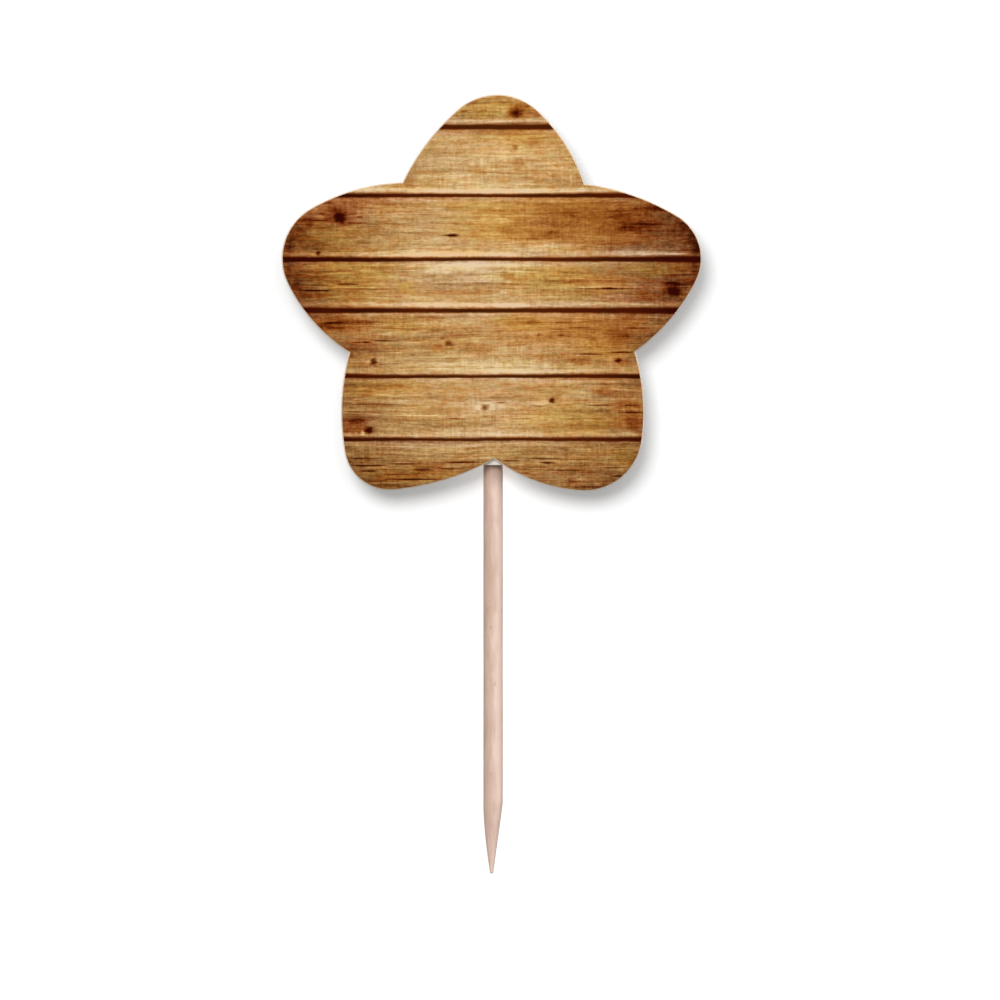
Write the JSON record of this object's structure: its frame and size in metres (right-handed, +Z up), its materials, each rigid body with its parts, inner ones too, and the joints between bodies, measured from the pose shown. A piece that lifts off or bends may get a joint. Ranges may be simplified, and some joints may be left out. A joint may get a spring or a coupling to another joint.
{
  "type": "cupcake pick",
  "caption": "Plump star of white card faced with wood-board print, stuck by a foam tab to a round pointed toothpick, for standing in a cupcake.",
  "frame": {"origin": "on the toothpick's axis, level with the end of its lower point", "axes": "+Z up along the toothpick, from the point to the star; -Y out of the printed face; +X to the right as the printed face is looked at"},
  "size_m": [0.0421, 0.0035, 0.078],
  "materials": {
    "printed_paper": "satin",
    "white_card": "matte",
    "adhesive": "satin",
    "white_foam": "matte",
    "birch": "matte"
  },
  "bodies": {
    "root": {"printed_face": "printed_paper", "star_card": "white_card", "front_adhesive": "adhesive", "foam_pad": "white_foam", "back_adhesive": "adhesive", "toothpick": "birch"}
  },
  "joints": []
}
